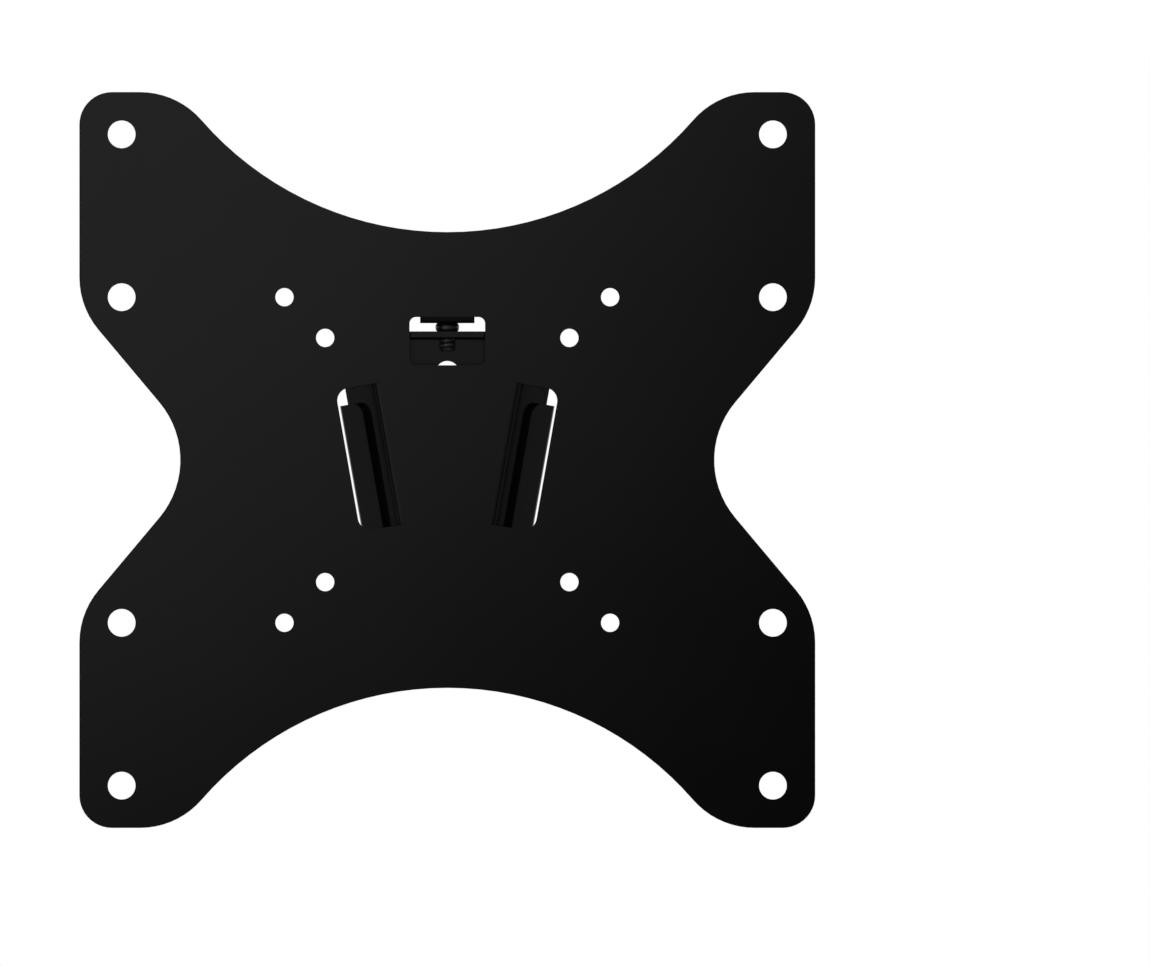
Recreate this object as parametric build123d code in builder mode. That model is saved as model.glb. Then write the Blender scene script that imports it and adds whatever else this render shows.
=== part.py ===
from build123d import *
from math import acos, cos, degrees, radians, sin
import os

# Slim fixed bracket for a flat display, as four pieces. The display plate hooks by two slanted lugs
# behind the slanted wings of the wall plate, and one socket screw pulls the wedge tight and locks it.
# Millimetres. X is to the right, Z is up and Y goes into the wall, whose surface is the plane Y = 0.
# The origin is the middle of the hole pattern, on the wall.

# Sheets and their distance
tv_sheet = 1.5
wall_sheet = 1.8
depth = 13.0
edge_break = 0.2

# Hole pattern of the display plate
large_pattern = 200.0
mid_pattern = 100.0
small_pattern = 75.0
large_hole_d = 8.5
small_hole_d = 5.6
pattern_margin = 13.0

# Outline of the display plate: bays above and below, waists at the sides, rounded lobes between
bay_depth = 43.0
bay_r = 100.0
waist_depth = 31.0
waist_r = 27.5
waist_angle = 40.0
lobe_r = 25.0
corner_r = 10.0

# Dovetail: both folds run down and inwards by the same slant
slant = 10.0
wing_fold = 27.1
wing_middle = -3.75
wing_length = 51.5
wing_flat = 8.2
wing_angle = 135.0
wing_bend_r = 0.7
lug_middle = 5.0
lug_length = 43.9
lug_flat = 11.1
lug_bend_r = 1.0
seat_gap = 0.05
slot_end_gap = 0.15
slot_side_gap = 0.55
slot_corner_r = 4.0
flange_corner_r = 4.0

# Body of the wall plate
body_top = 36.7
body_bottom = -53.4
body_top_r = 10.0
body_bottom_r = 11.0
top_hole_height = 26.8
low_hole_height = -42.0
low_hole_spacing = 18.0
wall_hole_d = 7.2

# Lip of the wall plate and tab of the display plate, one above the other
lip_width = 26.0
lip_reach = 10.1
lip_bend_r = 1.0
lip_relief = 0.8
lip_corner_r = 2.0
tab_width = 16.7
tab_wall_gap = 0.6
tab_bend_r = 1.0
tab_corner_r = 1.5
tongue_angle = 90.0

# Window that the screw is seen through
window_width = 23.2
window_top = 43.9
window_bottom = 29.1
window_corner_r = 2.0

# Locking screw and its captive ring
screw_setback = 5.75
screw_d = 5.0
screw_length = 10.0
screw_point = 0.5
screw_gap = 0.05
head_d = 8.1
head_height = 5.0
head_round = 0.3
socket_flats = 4.0
socket_depth = 2.6
tab_hole_d = 5.5
ring_height = 2.5
ring_end_d = 6.4
ring_d = 7.4

# The sheets' planes: x is across and y is up on each face, and both faces look away from the wall
wall_face = Plane.XZ
back_face = wall_face.offset(depth - tv_sheet)
side_face = Plane.YZ

# Across a slanted fold, x is the distance from the middle line and y the distance from the wall
across = (cos(radians(slant)), 0, -sin(radians(slant)))
down = (-sin(radians(slant)), 0, -cos(radians(slant)))
fold_face = Plane(origin=(0, 0, 0), x_dir=across, z_dir=down)

# Values that follow from the sizes above
plate_half = large_pattern / 2 + pattern_margin
lobe_turn = degrees(acos(1 - bay_depth / (bay_r + lobe_r)))
waist_rise = (waist_r + lobe_r) * (1 - cos(radians(waist_angle)))
slant_run = (waist_depth - waist_rise) / sin(radians(waist_angle))
wing_outer_r = wing_bend_r + wall_sheet
lug_outer_r = lug_bend_r + tv_sheet

# The inside of each wing is a plane at 45 degrees. On it, the distance from the middle line and the
# distance from the wall add up to the same value everywhere, and the lug's outside lies just under it.
wing_turn = radians(wing_angle - 90)
lug_angle = 180 - wing_angle
lug_turn = radians(lug_angle)
wing_seat_x = wing_fold + wing_bend_r * cos(wing_turn)
wing_seat_y = wall_sheet + wing_bend_r + wing_bend_r * sin(wing_turn)
lug_seat_y = depth - lug_outer_r * (1 - cos(lug_turn))
seat_run = (lug_seat_y - wing_seat_y) / sin(lug_turn) * cos(lug_turn)
lug_fold = wing_seat_x - seat_run - lug_outer_r * sin(lug_turn) - seat_gap / sin(lug_turn)

slot_outer = wing_fold + wing_outer_r + slot_side_gap
slot_length = lug_length + 2 * slot_end_gap
lip_top = body_top + lip_bend_r + wall_sheet
tab_bottom = lip_top + ring_height
tab_top = tab_bottom + tv_sheet
tab_fold = tab_top + tab_bend_r


def slanted(distance, height):
    """Place on a sheet's face, measured across and along the right-hand slanted fold."""
    turn = radians(slant)
    x = distance * cos(turn) + height * sin(turn)
    y = height * cos(turn) - distance * sin(turn)
    return Location((x, y, 0), (0, 0, -slant))


def fold_line_x(height):
    """How far out the wall plate's slanted fold lies at a height."""
    return (wing_fold + height * sin(radians(slant))) / cos(radians(slant))


def fold_section(plane, start, heading, angle, bend_r, sheet, flat):
    """Section of a flange: it leaves the sheet at start, folds to the left or right and ends flat."""
    side = 1 if angle > 0 else -1
    inner_start = (start[0] - side * sheet * heading[1], start[1] + side * sheet * heading[0])
    with BuildSketch(plane) as section:
        with BuildLine():
            outer_bend = JernArc(start=start, tangent=heading, radius=bend_r + sheet, arc_size=angle)
            outer_flat = Line(outer_bend @ 1, outer_bend @ 1 + flat * (outer_bend % 1))
            inner_bend = JernArc(start=inner_start, tangent=heading, radius=bend_r, arc_size=angle)
            inner_flat = Line(inner_bend @ 1, inner_bend @ 1 + flat * (inner_bend % 1))
            Line(outer_flat @ 1, inner_flat @ 1)
            Line(start, inner_start)
        make_face()
    return section.sketch


def flange(section, width, tip, corner_r):
    """A folded flange of the given width, with its two free corners rounded. tip picks its end face."""
    with BuildPart() as strip:
        extrude(section, amount=width / 2, both=True)
        end_face = strip.faces().sort_by(Axis.Y)[tip]
        fillet(end_face.edges().sort_by(SortBy.LENGTH)[:2], corner_r)
    return strip.part


# Tip picks for a flange: the end nearest the display and the end nearest the wall
FORWARD_TIP = 0
REAR_TIP = -1

# Wing of the wall plate: folded forward and back inwards, so that it overhangs the lug
wing = flange(
    fold_section(fold_face.offset(-wing_middle), (wing_fold, 0), (1, 0), wing_angle,
                 wing_bend_r, wall_sheet, wing_flat),
    wing_length, FORWARD_TIP, flange_corner_r)

# Lug of the display plate: the metal of the slot, folded back to lie behind the wing
lug = flange(
    fold_section(fold_face.offset(-lug_middle), (lug_fold, depth), (1, 0), -lug_angle,
                 lug_bend_r, tv_sheet, lug_flat),
    lug_length, REAR_TIP, flange_corner_r)

# Lip of the wall plate: folded forward, it holds the thread of the locking screw
lip = flange(
    fold_section(side_face, (0, body_top), (0, 1), tongue_angle, lip_bend_r, wall_sheet,
                 lip_reach - lip_bend_r - wall_sheet),
    lip_width, FORWARD_TIP, lip_corner_r)

# Tab of the display plate: folded back from the window, it lies under the head of the screw
tab = flange(
    fold_section(side_face, (-depth, tab_fold), (0, -1), tongue_angle, tab_bend_r, tv_sheet,
                 depth - tab_wall_gap - tab_bend_r - tv_sheet),
    tab_width, REAR_TIP, tab_corner_r)


# Display plate
with BuildPart() as tv_plate:
    with BuildSketch(back_face) as plate_face:
        # One quarter of the outline, mirrored twice
        with BuildLine():
            bay = JernArc(start=(0, plate_half - bay_depth), tangent=(1, 0), radius=bay_r,
                          arc_size=lobe_turn)
            lobe = JernArc(start=bay @ 1, tangent=bay % 1, radius=lobe_r, arc_size=-lobe_turn)
            top_edge = Line(lobe @ 1, (plate_half - corner_r, plate_half))
            corner = TangentArc(top_edge @ 1, (plate_half, plate_half - corner_r), tangent=top_edge % 1)
            waist = JernArc(start=(plate_half - waist_depth, 0), tangent=(0, 1), radius=waist_r,
                            arc_size=-waist_angle)
            waist_edge = Line(waist @ 1, waist @ 1 + slant_run * (waist % 1))
            shoulder = JernArc(start=waist_edge @ 1, tangent=waist_edge % 1, radius=lobe_r,
                               arc_size=waist_angle)
            Line(shoulder @ 1, corner @ 1)
            mirror(about=Plane.YZ)
            mirror(about=Plane.XZ)
        make_face()
        # Screw holes of the display, in four rectangles
        with GridLocations(large_pattern, large_pattern, 2, 2):
            Circle(large_hole_d / 2, mode=Mode.SUBTRACT)
        with GridLocations(large_pattern, mid_pattern, 2, 2):
            Circle(large_hole_d / 2, mode=Mode.SUBTRACT)
        with GridLocations(mid_pattern, mid_pattern, 2, 2):
            Circle(small_hole_d / 2, mode=Mode.SUBTRACT)
        with GridLocations(small_pattern, small_pattern, 2, 2):
            Circle(small_hole_d / 2, mode=Mode.SUBTRACT)
    extrude(amount=tv_sheet)
    # The outline's edges are broken all round, as on sheet that is tumbled before it is coated
    sheet_sides = tv_plate.faces().sort_by(SortBy.AREA)[-2:]
    chamfer([edge for side in sheet_sides for edge in side.outer_wire().edges()], edge_break)
    # The window, and the metal of the tab up to its fold, which is sheared without a relief
    with BuildSketch(back_face):
        with Locations((0, (window_top + window_bottom) / 2)):
            RectangleRounded(window_width, window_top - window_bottom, window_corner_r)
        with Locations((0, tab_fold)):
            Rectangle(tab_width, tab_fold - window_bottom - window_corner_r,
                      align=(Align.CENTER, Align.MAX))
    extrude(amount=tv_sheet, mode=Mode.SUBTRACT)
    # The slots that the lugs are folded out of: square at the fold and rounded at the free side
    with BuildSketch(back_face):
        with Locations(slanted(lug_fold, lug_middle)):
            RectangleRounded(slot_outer - lug_fold, slot_length, slot_corner_r,
                             align=(Align.MIN, Align.CENTER))
            Rectangle(slot_outer - lug_fold - slot_corner_r, slot_length,
                      align=(Align.MIN, Align.CENTER))
        mirror(about=Plane.YZ)
    extrude(amount=tv_sheet, mode=Mode.SUBTRACT)
    add(lug)
    add(mirror(lug, about=Plane.YZ, mode=Mode.PRIVATE))
    add(tab)
    with Locations((0, -screw_setback, tab_top)):
        Hole(tab_hole_d / 2, tv_sheet)
tv_plate.part.label = "tv_plate"

# Wall plate
shoulder_height = body_top - lip_relief
with BuildPart() as wall_plate:
    with BuildSketch(wall_face):
        with BuildLine():
            FilletPolyline(
                (0, body_bottom),
                (fold_line_x(body_bottom), body_bottom),
                (fold_line_x(shoulder_height), shoulder_height),
                (lip_width / 2, shoulder_height),
                (lip_width / 2, body_top),
                radius=(body_bottom_r, body_top_r, lip_relief / 2))
            Line((lip_width / 2, body_top), (0, body_top))
            mirror(about=Plane.YZ)
        make_face()
        with Locations((0, top_hole_height)):
            Circle(wall_hole_d / 2, mode=Mode.SUBTRACT)
        with Locations((-low_hole_spacing / 2, low_hole_height), (low_hole_spacing / 2, low_hole_height)):
            Circle(wall_hole_d / 2, mode=Mode.SUBTRACT)
    extrude(amount=wall_sheet)
    add(wing)
    add(mirror(wing, about=Plane.YZ, mode=Mode.PRIVATE))
    add(lip)
    with Locations((0, -screw_setback, lip_top)):
        Hole(screw_d / 2 + screw_gap, wall_sheet)
wall_plate.part.label = "wall_plate"

# Locking screw: a hexagon socket cap screw, its head on the tab and its end through the lip
with BuildPart(Plane((0, -screw_setback, tab_top))) as locking_screw:
    Cylinder(head_d / 2, head_height, align=(Align.CENTER, Align.CENTER, Align.MIN))
    fillet(locking_screw.edges().sort_by(Axis.Z)[-1], head_round)
    Cylinder(screw_d / 2, screw_length, align=(Align.CENTER, Align.CENTER, Align.MAX))
    chamfer(locking_screw.edges().sort_by(Axis.Z)[0], screw_point)
    with BuildSketch(locking_screw.faces().sort_by(Axis.Z)[-1]):
        RegularPolygon(socket_flats / 2, 6, major_radius=False)
    extrude(amount=-socket_depth, mode=Mode.SUBTRACT)
locking_screw.part.label = "locking_screw"

# Captive ring: its outside bulges, and it fills the room between the tab and the lip
ring_bore_r = screw_d / 2 + screw_gap
with BuildPart() as captive_ring:
    with BuildSketch(Plane((0, -screw_setback, lip_top), x_dir=(1, 0, 0), z_dir=(0, -1, 0))):
        with BuildLine():
            Polyline((ring_end_d / 2, 0), (ring_bore_r, 0), (ring_bore_r, ring_height),
                     (ring_end_d / 2, ring_height))
            ThreePointArc((ring_end_d / 2, 0), (ring_d / 2, ring_height / 2),
                          (ring_end_d / 2, ring_height))
        make_face()
    revolve(axis=Axis((0, -screw_setback, 0), (0, 0, 1)))
captive_ring.part.label = "captive_ring"

os.makedirs("parts", exist_ok=True)
export_step(tv_plate.part, "parts/tv_plate.step")
export_step(wall_plate.part, "parts/wall_plate.step")
export_step(locking_screw.part, "parts/locking_screw.step")
export_step(captive_ring.part, "parts/captive_ring.step")
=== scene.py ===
# %% [markdown]
# # A slim wall bracket in satin black
#
# The object is a flat bracket that holds a display close to a wall. It has four pieces: a large
# folded plate that is screwed to the display, a small folded plate that is screwed to the wall, a
# socket screw that locks the two together, and a glossy ring that keeps the screw from falling out.
#
# The solids come from the CAD model at their real size. This file gives them soft edges, a thread
# and their finishes, and sets up a plain white studio around them.

from math import cos, pi, radians, sin

import bmesh
import bpy
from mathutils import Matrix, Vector


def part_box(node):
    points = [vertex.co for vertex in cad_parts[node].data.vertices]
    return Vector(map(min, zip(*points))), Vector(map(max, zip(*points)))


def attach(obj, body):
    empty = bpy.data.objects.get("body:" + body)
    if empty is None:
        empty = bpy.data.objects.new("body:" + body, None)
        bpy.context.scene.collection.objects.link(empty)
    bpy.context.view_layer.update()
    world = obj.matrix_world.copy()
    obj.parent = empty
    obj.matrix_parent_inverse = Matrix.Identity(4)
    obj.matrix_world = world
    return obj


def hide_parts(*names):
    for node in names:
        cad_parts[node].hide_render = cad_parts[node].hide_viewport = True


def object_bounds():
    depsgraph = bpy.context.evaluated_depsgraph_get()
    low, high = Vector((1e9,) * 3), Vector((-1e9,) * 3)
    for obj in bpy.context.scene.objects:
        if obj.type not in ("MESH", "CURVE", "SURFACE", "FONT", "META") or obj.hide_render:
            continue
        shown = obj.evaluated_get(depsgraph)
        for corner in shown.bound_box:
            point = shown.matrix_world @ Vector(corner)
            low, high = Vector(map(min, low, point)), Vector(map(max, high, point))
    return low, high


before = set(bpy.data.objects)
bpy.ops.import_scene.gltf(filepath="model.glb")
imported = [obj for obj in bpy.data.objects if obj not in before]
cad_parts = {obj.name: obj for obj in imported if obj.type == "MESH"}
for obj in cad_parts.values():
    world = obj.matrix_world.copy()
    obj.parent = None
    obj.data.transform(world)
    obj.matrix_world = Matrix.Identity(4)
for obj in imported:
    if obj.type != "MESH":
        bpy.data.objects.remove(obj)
cad_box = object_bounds()

MM = 0.001

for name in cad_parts:
    low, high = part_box(name)
    print(name, "size in mm:", [round((b - a) / MM, 1) for a, b in zip(low, high)])

# %% [markdown]
# ## The camera
#
# The picture is a flat technical view with no perspective: the holes at the edge of the plate are
# as round as those in the middle, and no side of a fold shows. A perspective camera from far away
# would come close, but an orthographic camera gives exactly that, and its scale is one number.
#
# The scale is found from the hole pattern. Its outer holes are 200 mm apart on the real thing, and
# the picture shows them 656.5 pixels apart across and 646 pixels apart up and down. Blender's pixels
# are square, so the mean of both is taken.

# %% Camera
PICTURE_WIDTH = 1150
PICTURE_HEIGHT = 966
PATTERN_ACROSS = 656.5
PATTERN_UP = 646.0
PATTERN_SIZE = 200 * MM
PATTERN_MIDDLE = Vector((447.3, 460.0))
CAMERA_DISTANCE = 2.0

pixel = PATTERN_SIZE / ((PATTERN_ACROSS + PATTERN_UP) / 2)
aside = (PICTURE_WIDTH / 2 - PATTERN_MIDDLE.x) * pixel
above = (PATTERN_MIDDLE.y - PICTURE_HEIGHT / 2) * pixel

camera = bpy.data.objects.new("camera", bpy.data.cameras.new("camera"))
camera.data.type = "ORTHO"
camera.data.ortho_scale = PICTURE_WIDTH * pixel
camera.location = (aside, -CAMERA_DISTANCE, above)
camera.rotation_euler = (radians(90), 0, 0)
bpy.context.scene.collection.objects.link(camera)
bpy.context.scene.camera = camera
bpy.context.scene.view_settings.view_transform = "Standard"
print("one pixel is", round(pixel / MM, 4), "mm")

# %% [markdown]
# ## Node helpers
#
# Each material and the world is a small graph of shader nodes. Two helpers keep the graphs short:
# one adds a node and sets its values by name, the other starts a material with only its output.


# %% Node helpers
def add_node(tree, kind, values=None, **settings):
    """A new node of that kind. settings are its properties, values its input sockets by name or number."""
    node = tree.nodes.new(kind)
    for key, value in settings.items():
        setattr(node, key, value)
    for key, value in (values or {}).items():
        node.inputs[key].default_value = value
    return node


def new_material(name):
    """An empty material with only its output node, and that node's tree."""
    material = bpy.data.materials.new(name)
    material.use_nodes = True
    material.node_tree.nodes.clear()
    output = add_node(material.node_tree, "ShaderNodeOutputMaterial")
    return material, material.node_tree, output


# %% [markdown]
# ## The white world
#
# The background of the picture is pure white, but a white world at full strength on every side
# would also light the black metal too strongly. Light Path tells the rays apart: the camera,
# reflections and clear materials see white, and the light that falls on the object is softer.

# %% World
SKY_LIGHT = 0.6

world = bpy.data.worlds.new("studio")
bpy.context.scene.world = world
world.use_nodes = True
tree = world.node_tree
tree.nodes.clear()
path = add_node(tree, "ShaderNodeLightPath")
direct = add_node(tree, "ShaderNodeMath", operation="MAXIMUM")
seen = add_node(tree, "ShaderNodeMath", operation="MAXIMUM")
strength = add_node(tree, "ShaderNodeMapRange", {"To Min": SKY_LIGHT, "To Max": 1.0})
sky = add_node(tree, "ShaderNodeBackground", {"Color": (1, 1, 1, 1)})
output = add_node(tree, "ShaderNodeOutputWorld")
tree.links.new(path.outputs["Is Camera Ray"], direct.inputs[0])
tree.links.new(path.outputs["Is Glossy Ray"], direct.inputs[1])
tree.links.new(direct.outputs[0], seen.inputs[0])
tree.links.new(path.outputs["Is Transmission Ray"], seen.inputs[1])
tree.links.new(seen.outputs[0], strength.inputs["Value"])
tree.links.new(strength.outputs["Result"], sky.inputs["Strength"])
tree.links.new(sky.outputs[0], output.inputs["Surface"])
print("the world shows white and lights the object at", SKY_LIGHT)

# %% [markdown]
# ## The floor
#
# A plain pale floor lies just under the bracket. In the main view it is seen edge-on, so it doesn't
# show, and from higher views it catches a soft shadow. Near the object it is an ordinary matt surface.
# Further out it fades into the white of the world, so that no horizon cuts through the picture.
#
# Reflections pass through it. Otherwise its white would glow along the lower edge of the plate, which
# is the darkest part of the picture.

# %% Floor
FLOOR_COLOUR = (0.86, 0.86, 0.86, 1)
FLOOR_SIZE = 12.0
FADE_START = 0.25
FADE_END = 1.6


def flat_sheet(name, width, depth, centre, turn=(0, 0, 0)):
    """A rectangle that lies level before it is turned, for the floor or a studio card."""
    mesh = bpy.data.meshes.new(name)
    x, y = width / 2, depth / 2
    mesh.from_pydata([(-x, -y, 0), (x, -y, 0), (x, y, 0), (-x, y, 0)], [], [(0, 1, 2, 3)])
    sheet = bpy.data.objects.new(name, mesh)
    sheet.location = centre
    sheet.rotation_euler = turn
    bpy.context.scene.collection.objects.link(sheet)
    return sheet


floor = flat_sheet("floor", FLOOR_SIZE, FLOOR_SIZE, (0, 0, cad_box[0].z))
floor.visible_glossy = False
floor_paint, tree, output = new_material("pale_floor")
place = add_node(tree, "ShaderNodeTexCoord")
reach = add_node(tree, "ShaderNodeVectorMath", operation="LENGTH")
fade = add_node(tree, "ShaderNodeMapRange", {"From Min": FADE_START, "From Max": FADE_END},
                interpolation_type="SMOOTHSTEP")
matt = add_node(tree, "ShaderNodeBsdfDiffuse", {"Color": FLOOR_COLOUR})
white = add_node(tree, "ShaderNodeEmission", {"Strength": 1.0})
blend = add_node(tree, "ShaderNodeMixShader")
tree.links.new(place.outputs["Object"], reach.inputs[0])
tree.links.new(reach.outputs["Value"], fade.inputs["Value"])
tree.links.new(fade.outputs["Result"], blend.inputs["Fac"])
tree.links.new(matt.outputs[0], blend.inputs[1])
tree.links.new(white.outputs[0], blend.inputs[2])
tree.links.new(blend.outputs[0], output.inputs["Surface"])
floor.data.materials.append(floor_paint)
print("the floor lies", round(-floor.location.z / MM, 1), "mm below the middle")

# %% [markdown]
# ## The lamp
#
# One large soft lamp at the upper left lights the object and lays its shadow on the floor. It gives
# no mirror image of its own, because the cards below show the black metal what to reflect.

# %% Lamp
KEY_WATTS = 6.0
KEY_SIZE = 0.7
KEY_PLACE = Vector((-0.7, -0.9, 0.8))


def soft_lamp(name, place, aim, size, watts):
    """A square lamp of that size, turned towards aim."""
    lamp = bpy.data.objects.new(name, bpy.data.lights.new(name, "AREA"))
    lamp.data.size = size
    lamp.data.energy = watts
    lamp.location = place
    lamp.rotation_euler = (aim - place).to_track_quat("-Z", "Y").to_euler()
    bpy.context.scene.collection.objects.link(lamp)
    return lamp


key = soft_lamp("key", KEY_PLACE, Vector((0, 0, 0)), KEY_SIZE, KEY_WATTS)
key.visible_glossy = False
print("the lamp is", KEY_SIZE, "m wide and gives", KEY_WATTS, "W")

# %% [markdown]
# ## A tent of cards
#
# Black metal shows little colour of its own. Nearly all that is seen of it is what it reflects, so a
# photographer builds a tent of cards round it, and so does this scene. Only reflections see the cards.
#
# Each bend in the sheets sweeps the eye through the studio, from what stands in front to what stands
# beside it. Read that way, the picture tells its own studio: bright in front, nearly black round the
# bright part, and a middle grey at the sides, which the slanted folds show. The cards are set like
# that. The tent ends just behind the bracket, so that its back shows the white world.
#
# The two dark flags hang a little further out than the front card and reach past its left and lower
# edges. The left card reaches less far forward than the others, so that the flag beside it shows in
# the folds on the left.

# %% Tent of cards
TENT_WIDTH = 0.5
TENT_FRONT = 0.18
TENT_BACK = 0.11
TENT_BACK_TONE = 0.08
FADE_FROM, FADE_TO = 0.03, 0.09
LEFT_TONE, RIGHT_TONE, TOP_TONE, LOW_TONE = 0.38, 0.33, 0.38, 0.20
LEFT_FRONT = 0.05
FLAG_TONE = 0.12
FLAG_FRONT = 0.19
FLAG_HEIGHT = 0.3
FLAG_WIDTH, FLAG_MIDDLE = 1.0, -0.4
LOW_FLAG_WIDTH, LOW_FLAG_MIDDLE = 0.6, -0.2
LEVEL = (0, 0, 0)
FACING = (radians(90), 0, 0)
SIDEWAYS = (0, radians(90), 0)


def studio_card(name, width, depth, centre, turn):
    """A card that only reflections see, with its nodes. It glows as a dark flag unless that is changed."""
    card = flat_sheet(name, width, depth, centre, turn)
    for ray in ("camera", "diffuse", "transmission", "volume_scatter", "shadow"):
        setattr(card, "visible_" + ray, False)
    paint, tree, output = new_material(name)
    place = add_node(tree, "ShaderNodeTexCoord")
    glow = add_node(tree, "ShaderNodeEmission", {"Strength": FLAG_TONE})
    tree.links.new(glow.outputs[0], output.inputs["Surface"])
    card.data.materials.append(paint)
    return tree, place, glow


def tent_side(name, tone, x, z, turn, front=TENT_FRONT):
    """A side of the tent from that far in front of the wall, which fades towards the back."""
    middle = (TENT_BACK - front) / 2
    tree, place, glow = studio_card(name, TENT_WIDTH, TENT_BACK + front, (x, middle, z), turn)
    part = add_node(tree, "ShaderNodeSeparateXYZ")
    fade = add_node(tree, "ShaderNodeMapRange",
                    {"From Min": FADE_FROM - middle, "From Max": FADE_TO - middle,
                     "To Min": tone, "To Max": TENT_BACK_TONE})
    tree.links.new(place.outputs["Object"], part.inputs[0])
    tree.links.new(part.outputs["Y"], fade.inputs["Value"])
    tree.links.new(fade.outputs["Result"], glow.inputs["Strength"])


studio_card("dark_flag", FLAG_WIDTH, FLAG_HEIGHT, (FLAG_MIDDLE, -FLAG_FRONT, 0), FACING)
studio_card("low_dark_flag", LOW_FLAG_WIDTH, FLAG_HEIGHT, (0, -FLAG_FRONT, LOW_FLAG_MIDDLE), FACING)
tent_side("left_card", LEFT_TONE, -TENT_WIDTH / 2, 0, SIDEWAYS, front=LEFT_FRONT)
tent_side("right_card", RIGHT_TONE, TENT_WIDTH / 2, 0, SIDEWAYS)
tent_side("top_card", TOP_TONE, 0, TENT_WIDTH / 2, LEVEL)
tent_side("low_card", LOW_TONE, 0, -TENT_WIDTH / 2, LEVEL)
print("the tent is", TENT_WIDTH, "m wide and", round(TENT_FRONT + TENT_BACK, 2), "m deep")

# %% [markdown]
# ## The light on the front card
#
# The large plate is a dark grey at the upper left and falls smoothly to almost pure black at the lower
# right. A flat sheet seen square on mirrors what stands right in front of it, so the front card carries
# that fall. It goes like the light beside the edge of a large round window: full far inside, none far
# outside, and in between with the sine of the angle to the edge. The window's middle lies well off the
# card at the upper left, which makes the lines of equal tone slightly curved, as in the picture.

# %% Front card
CARD_LEFT, CARD_RIGHT, CARD_LOW, CARD_HIGH = -0.17, 0.25, -0.13, 0.25
WINDOW_MIDDLE = Vector((-0.323, 0.323))
WINDOW_RADIUS = 0.459
WINDOW_REACH = 0.117

across, up = (CARD_LEFT + CARD_RIGHT) / 2, (CARD_LOW + CARD_HIGH) / 2
tree, place, glow = studio_card("front_card", CARD_RIGHT - CARD_LEFT, CARD_HIGH - CARD_LOW,
                                (across, -TENT_FRONT, up), FACING)
middle = (WINDOW_MIDDLE.x - across, WINDOW_MIDDLE.y - up, 0)
far = add_node(tree, "ShaderNodeVectorMath", {1: middle}, operation="DISTANCE")
depth = add_node(tree, "ShaderNodeMapRange",
                 {"From Min": WINDOW_RADIUS - WINDOW_REACH, "From Max": WINDOW_RADIUS,
                  "To Min": 1.0, "To Max": 0.0})
depth.clamp = False
angle = add_node(tree, "ShaderNodeMath", operation="ARCTANGENT")
sine = add_node(tree, "ShaderNodeMath", operation="SINE")
light = add_node(tree, "ShaderNodeMapRange", {"From Min": -1.0, "From Max": 1.0})
tree.links.new(place.outputs["Object"], far.inputs[0])
tree.links.new(far.outputs["Value"], depth.inputs["Value"])
tree.links.new(depth.outputs["Result"], angle.inputs[0])
tree.links.new(angle.outputs[0], sine.inputs[0])
tree.links.new(sine.outputs[0], light.inputs["Value"])
tree.links.new(light.outputs["Result"], glow.inputs["Strength"])
print("the front card is", round(CARD_RIGHT - CARD_LEFT, 2), "by", round(CARD_HIGH - CARD_LOW, 2), "m")

# %% [markdown]
# ## What the black finishes share
#
# The coat, the blackened screw and the moulded ring are all black. A single flat black would look like a
# hole in the picture, and no real surface is that even. So in each of them a wide noise shifts the tone
# and the roughness a little. One function makes what they share, and each finish then lays its own bumps
# over it.


# %% Finish helpers
def add_noise(tree, place, size, detail=2.0, roughness=0.5):
    """Noise whose features are about that many metres wide."""
    noise = add_node(tree, "ShaderNodeTexNoise",
                     {"Scale": 1 / size, "Detail": detail, "Roughness": roughness})
    tree.links.new(place.outputs["Object"], noise.inputs["Vector"])
    return noise


def add_bump(tree, noise, depth, strength, under=None):
    """A bump of that depth in metres, laid over another bump if one is given."""
    bump = add_node(tree, "ShaderNodeBump", {"Distance": depth, "Strength": strength})
    tree.links.new(noise.outputs["Fac"], bump.inputs["Height"])
    if under:
        tree.links.new(under.outputs["Normal"], bump.inputs["Normal"])
    return bump


def add_tones(tree, noise, dark, light):
    """Colour that wanders between two tones with a noise."""
    ramp = add_node(tree, "ShaderNodeValToRGB")
    ramp.color_ramp.elements[0].position = 0.3
    ramp.color_ramp.elements[0].color = dark
    ramp.color_ramp.elements[1].position = 0.7
    ramp.color_ramp.elements[1].color = light
    tree.links.new(noise.outputs["Fac"], ramp.inputs["Fac"])
    return ramp


def add_range(tree, noise, low, high):
    """A number that wanders between two values with a noise."""
    spread = add_node(tree, "ShaderNodeMapRange",
                      {"From Min": 0.3, "From Max": 0.7, "To Min": low, "To Max": high})
    tree.links.new(noise.outputs["Fac"], spread.inputs["Value"])
    return spread


def black_finish(name, shine, tones, roughness, cloud_size):
    """A black surface whose tone and roughness wander between two values, with its nodes."""
    material, tree, output = new_material(name)
    place = add_node(tree, "ShaderNodeTexCoord")
    surface = add_node(tree, "ShaderNodeBsdfPrincipled", {"Specular IOR Level": shine, "IOR": 1.5})
    cloud = add_noise(tree, place, cloud_size)
    tone = add_tones(tree, cloud, *tones)
    gloss = add_range(tree, cloud, *roughness)
    tree.links.new(tone.outputs["Color"], surface.inputs["Base Color"])
    tree.links.new(gloss.outputs["Result"], surface.inputs["Roughness"])
    tree.links.new(surface.outputs[0], output.inputs["Surface"])
    return material, tree, place, cloud, surface


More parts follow.
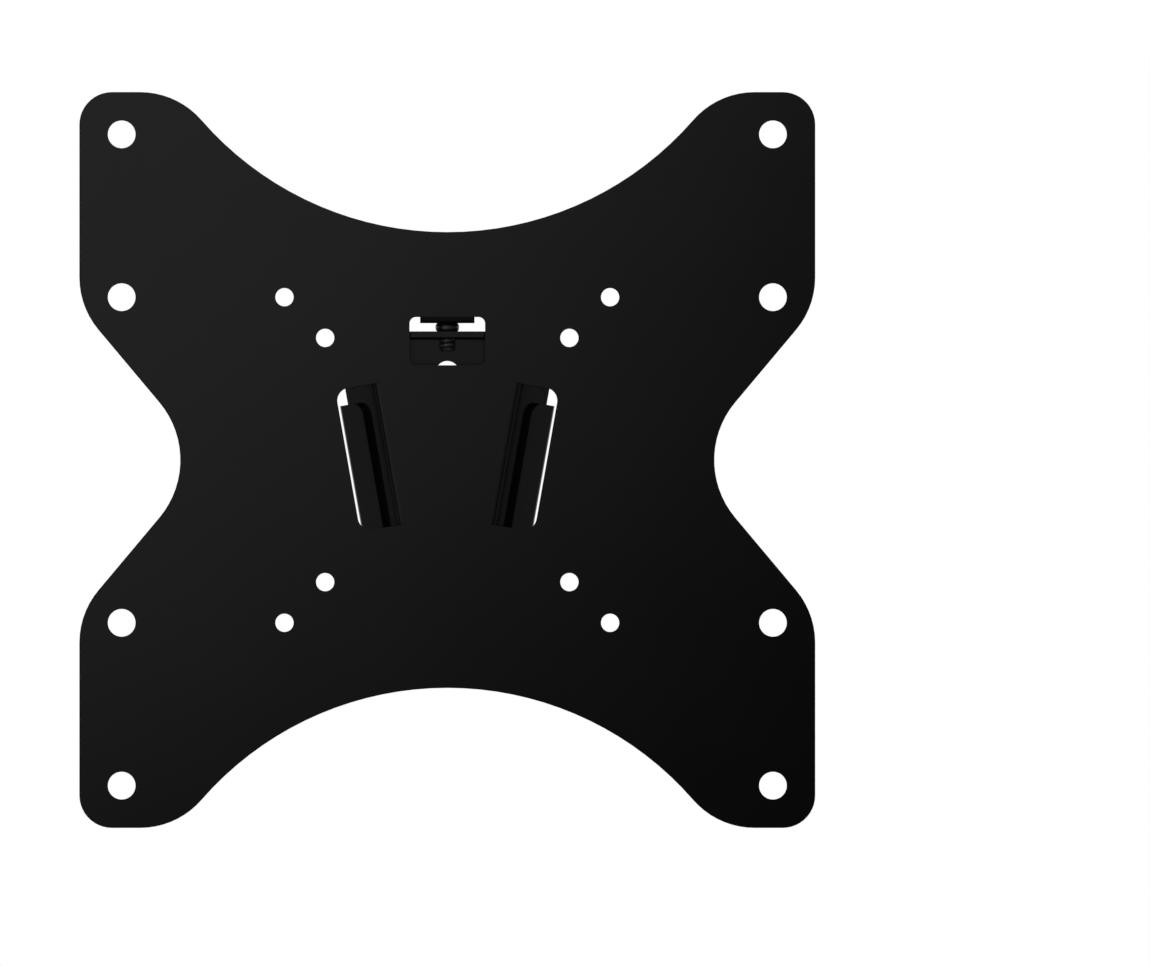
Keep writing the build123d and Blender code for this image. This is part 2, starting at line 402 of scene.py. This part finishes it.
# %% [markdown]
# ## Powder coat
#
# Both plates are sheet steel with a satin black powder coat. The powder melts in an oven and sets with
# a faint orange peel: low soft dimples about a millimetre wide, with a much finer grain on top. Noise
# at those two scales drives the bump.
#
# The coat's own tone is close to nothing: the plate is almost pure black where it mirrors no light, so
# what is seen of it elsewhere is its shine.

# %% Powder coat material
COAT_TONES = (0.0008, 0.0008, 0.0009, 1), (0.0014, 0.0014, 0.0015, 1)
COAT_SHINE = 0.22
COAT_ROUGHNESS = 0.17, 0.20
CLOUD_SIZE = 40 * MM
PEEL_SIZE, PEEL_DEPTH = 1.1 * MM, 0.02 * MM
GRAIN_SIZE, GRAIN_DEPTH = 0.18 * MM, 0.004 * MM
COAT_BUMP = 0.5


def powder_coat():
    """Satin black powder coat with a faint orange peel."""
    material, tree, place, cloud, paint = black_finish("satin_powder_coat", COAT_SHINE, COAT_TONES,
                                                       COAT_ROUGHNESS, CLOUD_SIZE)
    peel = add_bump(tree, add_noise(tree, place, PEEL_SIZE), PEEL_DEPTH, COAT_BUMP)
    grain = add_bump(tree, add_noise(tree, place, GRAIN_SIZE), GRAIN_DEPTH, COAT_BUMP, under=peel)
    tree.links.new(grain.outputs["Normal"], paint.inputs["Normal"])
    return material


coat = powder_coat()
print(coat.name, "nodes:", len(coat.node_tree.nodes))

# %% [markdown]
# ## The two plates
#
# The outline, the holes and the folds are right in the CAD solids, but their edges are hard: the rim of
# the large plate is broken by a narrow flat, and the other edges are square. Real sheet is tumbled after
# cutting, and the coat rounds it further: each edge has a radius of about a fifth of a millimetre, and
# shows as a thin soft line.
#
# The mesh could be drawn again from nothing, but then it might drift from the CAD. So each plate is
# made from a copy of its solid. The triangles of each flat face are merged, the sharp edges get a bevel
# and the blunter ones beside the rim's flat a smaller one, and weighted normals keep the flat faces flat
# while the bevels look round. Where several bevels meet, a corner can stand a few thousandths of a
# millimetre proud, and is pressed back in.

# %% Plates with soft edges
SAME_PLANE = radians(0.5)
SHARP_EDGE = radians(60)
BROKEN_EDGE = radians(35)
SHARP_RADIUS, SHARP_STEPS = 0.22 * MM, 3
BROKEN_RADIUS, BROKEN_STEPS = 0.09 * MM, 2
WELD_DISTANCE = 0.0001 * MM


def press_in(bm, low, high):
    """Brings each corner of the mesh into the box between low and high."""
    for vert in bm.verts:
        vert.co = [min(max(value, a), b) for value, a, b in zip(vert.co, low, high)]


def soften(name, cad_name, material):
    """A copy of a CAD solid with its sharp edges rounded, which stands for that solid."""
    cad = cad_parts[cad_name]
    bm = bmesh.new()
    bm.from_mesh(cad.data)
    bmesh.ops.remove_doubles(bm, verts=bm.verts, dist=WELD_DISTANCE)
    bmesh.ops.dissolve_limit(bm, angle_limit=SAME_PLANE, verts=bm.verts, edges=bm.edges)
    turns = [(edge, edge.calc_face_angle(0)) for edge in bm.edges]
    sharp = [edge for edge, turn in turns if turn > SHARP_EDGE]
    broken = [edge for edge, turn in turns if BROKEN_EDGE < turn <= SHARP_EDGE]
    for edges, radius, steps in ((broken, BROKEN_RADIUS, BROKEN_STEPS), (sharp, SHARP_RADIUS, SHARP_STEPS)):
        edges = [edge for edge in edges if edge.is_valid]
        if edges:
            bmesh.ops.bevel(bm, geom=edges, offset=radius, segments=steps, profile=0.5,
                            affect="EDGES", clamp_overlap=True)
    press_in(bm, *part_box(cad_name))
    for face in bm.faces:
        face.smooth = True
    mesh = bpy.data.meshes.new(name)
    bm.to_mesh(mesh)
    bm.free()
    plate = bpy.data.objects.new(name, mesh)
    bpy.context.scene.collection.objects.link(plate)
    plate.data.materials.append(material)
    plate.modifiers.new("flat_faces", "WEIGHTED_NORMAL").keep_sharp = True
    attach(plate, "root")
    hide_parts(cad_name)
    print(name, "sharp edges:", len(sharp), "broken edges:", len(broken), "faces:", len(mesh.polygons))


soften("display_plate", "tv_plate", coat)
soften("small_wall_plate", "wall_plate", coat)

# %% [markdown]
# ## The locking screw
#
# It is a socket cap screw in black oxide. Its head is a short drum with a hexagon socket, and its
# thread shows under the lip of the wall plate. Turned parts like this are round everywhere except at
# the socket and the thread, so the mesh is a stack of rings: each ring has the same number of points,
# and neighbouring rings are joined by faces. The socket's rings are hexagons, and the thread's rings
# swell once per turn, a little further round at each height, which makes the helix.

# %% Helpers for turned parts
AROUND = 96


def ring_stack(name, rings, material, cad_name):
    """A closed mesh through rings of points, listed from one end to the other."""
    bm = bmesh.new()
    rows = [[bm.verts.new(point) for point in ring] for ring in rings]
    count = len(rows[0])
    for row, after in zip(rows, rows[1:]):
        for i in range(count):
            j = (i + 1) % count
            bm.faces.new((row[i], row[j], after[j], after[i]))
    bm.faces.new(rows[0])
    bm.faces.new(list(reversed(rows[-1])))
    bmesh.ops.recalc_face_normals(bm, faces=bm.faces)
    for face in bm.faces:
        face.smooth = True
    mesh = bpy.data.meshes.new(name)
    bm.to_mesh(mesh)
    bm.free()
    piece = bpy.data.objects.new(name, mesh)
    bpy.context.scene.collection.objects.link(piece)
    piece.data.materials.append(material)
    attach(piece, "root")
    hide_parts(cad_name)
    print(name, "rings:", len(rows), "faces:", len(mesh.polygons))


def level_ring(axis, height, radius_at):
    """A level ring round an upright axis. radius_at gives the radius at each angle."""
    points = []
    for i in range(AROUND):
        angle = 2 * pi * i / AROUND
        radius = radius_at(angle)
        points.append((axis.x + radius * cos(angle), axis.y + radius * sin(angle), height))
    return points


# %% [markdown]
# ## Black oxide
#
# The screw is blackened in a hot salt bath, which leaves the steel's own surface: a soft shine, with the
# fine marks of the tool that turned it running round it. The marks are noise that is squeezed flat, so
# that it is much longer sideways than it is high.

# %% Black oxide material
OXIDE_TONES = (0.006, 0.006, 0.0065, 1), (0.012, 0.012, 0.0125, 1)
OXIDE_SHINE = 0.5
OXIDE_ROUGHNESS = 0.20, 0.27
OXIDE_CLOUD_SIZE = 1.5 * MM
MARK_LENGTH, MARK_HEIGHT, MARK_DEPTH = 2 * MM, 0.05 * MM, 0.004 * MM
MARK_BUMP = 0.4


def black_oxide():
    """Black oxide on turned steel."""
    material, tree, place, cloud, steel = black_finish("black_oxide", OXIDE_SHINE, OXIDE_TONES,
                                                       OXIDE_ROUGHNESS, OXIDE_CLOUD_SIZE)
    squeeze = add_node(tree, "ShaderNodeMapping",
                       {"Scale": (1 / MARK_LENGTH, 1 / MARK_LENGTH, 1 / MARK_HEIGHT)})
    turning = add_node(tree, "ShaderNodeTexNoise", {"Scale": 1.0, "Detail": 2.0})
    tree.links.new(place.outputs["Object"], squeeze.inputs["Vector"])
    tree.links.new(squeeze.outputs["Vector"], turning.inputs["Vector"])
    marks = add_bump(tree, turning, MARK_DEPTH, MARK_BUMP)
    tree.links.new(marks.outputs["Normal"], steel.inputs["Normal"])
    return material


oxide = black_oxide()
print(oxide.name, "nodes:", len(oxide.node_tree.nodes))

# %% [markdown]
# ## The screw's rings
#
# The thread is drawn as the picture shows it, coarser than on a real screw of this size: round crests,
# with sharp dark grooves between them. It fades out under the head. The socket is a hexagon with a
# short cone at its mouth, which guides the key, and a shallow cone at its floor, which the drill left.

# %% Locking screw
THREAD_PITCH = 1.45 * MM
THREAD_CREST = 2.48 * MM
THREAD_ROOT = 1.95 * MM
THREAD_END = 0.6 * MM
THREAD_TIP = THREAD_ROOT - 0.15 * MM
CREST_POWER = 3
RINGS_PER_TURN = 32
HEAD_HEIGHT = 5.0 * MM
HEAD_ROUND, HEAD_STEPS = 0.35 * MM, 5
UNDER_ROUND, UNDER_STEPS = HEAD_ROUND / 3, 3
SOCKET_FLATS = 4.0 * MM
SOCKET_DEPTH = 2.6 * MM
LEAD_WIDTH, LEAD_DEPTH = 0.1 * MM, 0.3 * MM
DRILL_RADIUS, DRILL_DEPTH = 0.8 * MM, 0.4 * MM

screw_low, screw_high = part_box("locking_screw")
screw_axis = (screw_low + screw_high) / 2
head_radius = (screw_high.x - screw_low.x) / 2
head_bottom = screw_high.z - HEAD_HEIGHT
socket_corner = SOCKET_FLATS / 2 / cos(radians(30))


def hexagon(angle):
    """Radius of the socket's hexagon at an angle."""
    turn = (angle + radians(30)) % radians(60) - radians(30)
    return SOCKET_FLATS / 2 / cos(turn)


def smooth_step(x):
    """0 below 0, 1 above 1, and a smooth rise between."""
    x = min(max(x, 0), 1)
    return x * x * (3 - 2 * x)


def thread_radius(height, angle):
    """Radius of the thread: a broad round crest between sharp grooves, which climbs one pitch in a turn."""
    phase = ((height - screw_low.z) / THREAD_PITCH - angle / (2 * pi)) % 1
    ridge = 1 - abs(2 * phase - 1) ** CREST_POWER
    start = smooth_step((height - screw_low.z) / THREAD_END)
    neck = smooth_step((head_bottom - height) / THREAD_PITCH)
    core = THREAD_TIP + (THREAD_ROOT - THREAD_TIP) * start
    return core + (THREAD_CREST - THREAD_ROOT) * ridge * start * neck


def screw_rings():
    """Rings of the screw from its tip, up the thread, over the head and down into the socket."""
    rings = []
    turns = (head_bottom - screw_low.z) / THREAD_PITCH
    steps = round(turns * RINGS_PER_TURN)
    for i in range(steps + 1):
        height = screw_low.z + (head_bottom - screw_low.z) * i / steps
        rings.append(level_ring(screw_axis, height, lambda angle, h=height: thread_radius(h, angle)))
    for i in range(UNDER_STEPS + 1):
        turn = radians(90) * i / UNDER_STEPS
        inset = UNDER_ROUND * (1 - sin(turn))
        rise = UNDER_ROUND * (1 - cos(turn))
        rings.append(level_ring(screw_axis, head_bottom + rise, lambda angle, d=inset: head_radius - d))
    for i in range(HEAD_STEPS + 1):
        turn = radians(90) * i / HEAD_STEPS
        inset = HEAD_ROUND * (1 - cos(turn))
        drop = HEAD_ROUND * (1 - sin(turn))
        rings.append(level_ring(screw_axis, screw_high.z - drop, lambda angle, d=inset: head_radius - d))
    floor_height = screw_high.z - SOCKET_DEPTH
    rings.append(level_ring(screw_axis, screw_high.z, lambda angle: socket_corner + LEAD_WIDTH))
    rings.append(level_ring(screw_axis, screw_high.z - LEAD_DEPTH, hexagon))
    rings.append(level_ring(screw_axis, floor_height, hexagon))
    rings.append(level_ring(screw_axis, floor_height - DRILL_DEPTH, lambda angle: DRILL_RADIUS))
    return rings


ring_stack("cap_screw", screw_rings(), oxide, "locking_screw")

# %% [markdown]
# ## The captive ring
#
# A soft black ring sits on the screw between the two folded tongues. It bulges like a cushion under
# load, and its gloss shows one bright band round its middle. The CAD solid has that form already, so it
# stays and only gets its finish.

# %% Captive ring
POLYMER_TONES = (0.003, 0.003, 0.0032, 1), (0.005, 0.005, 0.0054, 1)
POLYMER_SHINE = 0.5
POLYMER_ROUGHNESS = 0.20, 0.28
FLOW_SIZE, FLOW_DEPTH = 1.2 * MM, 0.01 * MM
FLOW_BUMP = 0.3


def glossy_polymer():
    """Moulded black polymer with a clear gloss and faint flow marks."""
    material, tree, place, cloud, polymer = black_finish("glossy_polymer", POLYMER_SHINE, POLYMER_TONES,
                                                         POLYMER_ROUGHNESS, FLOW_SIZE)
    flow = add_bump(tree, cloud, FLOW_DEPTH, FLOW_BUMP)
    tree.links.new(flow.outputs["Normal"], polymer.inputs["Normal"])
    return material


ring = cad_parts["captive_ring"]
ring.material_slots[0].material = glossy_polymer()
print(ring.name, "faces:", len(ring.data.polygons))
